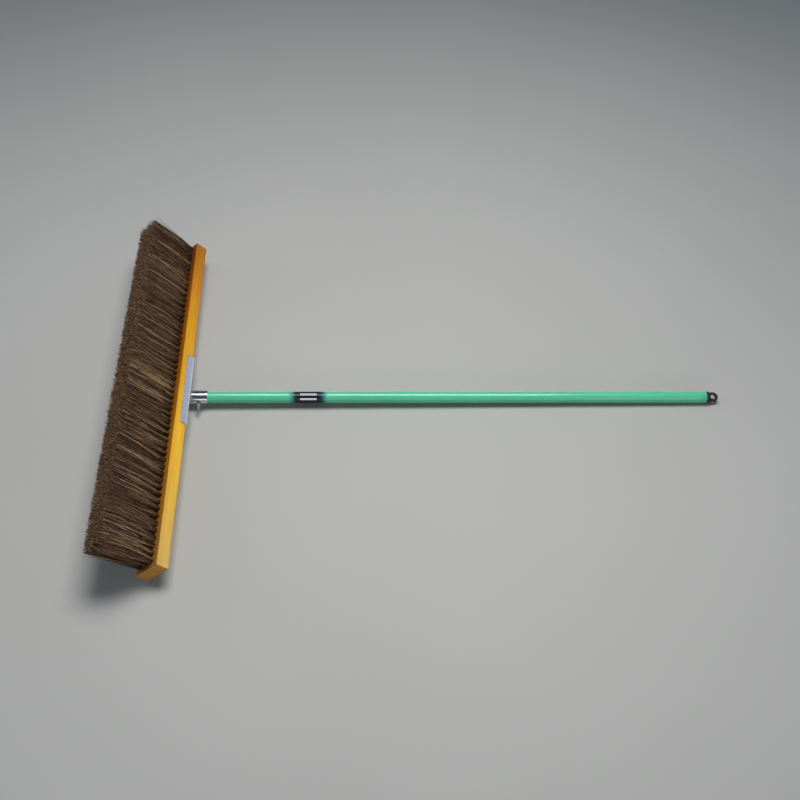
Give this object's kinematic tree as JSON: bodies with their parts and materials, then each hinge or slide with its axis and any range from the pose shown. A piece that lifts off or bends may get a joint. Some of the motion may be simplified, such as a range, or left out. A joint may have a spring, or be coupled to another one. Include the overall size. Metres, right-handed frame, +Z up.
{
  "type": "push broom",
  "caption": "Wide push broom: a long wooden block with rows of stiff plant-fibre tufts, a steel saddle and socket, and a painted steel handle held by a wing bolt.",
  "frame": {"origin": "on the surface the broom lies on, under the middle of its bounding box", "axes": "+X along the handle from the head to the hanging cap, +Y along the block, +Z up; the broom lies on the block's far top edge and on the end of its handle"},
  "size_m": [1.355, 0.9, 0.1518],
  "materials": {
    "varnished_wood": "satin",
    "plant_fibre": "matte",
    "zinc_plate": "satin",
    "bright_plate": "polished",
    "green_paint": "gloss",
    "printed_film": "gloss",
    "black_plastic": "satin"
  },
  "bodies": {
    "head": {"wooden_block": "varnished_wood", "tuft_row_1": "plant_fibre", "tuft_row_2": "plant_fibre", "tuft_row_3": "plant_fibre", "tuft_row_4": "plant_fibre", "tuft_row_5": "plant_fibre", "bracket_saddle": "zinc_plate", "bracket_screw_1": "zinc_plate", "bracket_screw_2": "zinc_plate", "bracket_screw_3": "zinc_plate", "bracket_screw_4": "zinc_plate", "handle_socket": "bright_plate", "socket_nut": "bright_plate"},
    "handle": {"handle_tube": "green_paint", "handle_label": "printed_film", "hanging_cap": "black_plastic"},
    "wing_bolt": {"wing_bolt": "bright_plate"}
  },
  "joints": [
    {"name": "handle_slide", "type": "slide", "parent": "head", "child": "handle", "axis": [1, 0, -0.0088], "range_m": [0, 0.038]},
    {"name": "wing_bolt_turn", "type": "hinge", "parent": "head", "child": "wing_bolt", "pos_m": [-0.50699, 0, 0.0229], "axis": [0, -1, 0], "range_deg": [0, 450]}
  ]
}
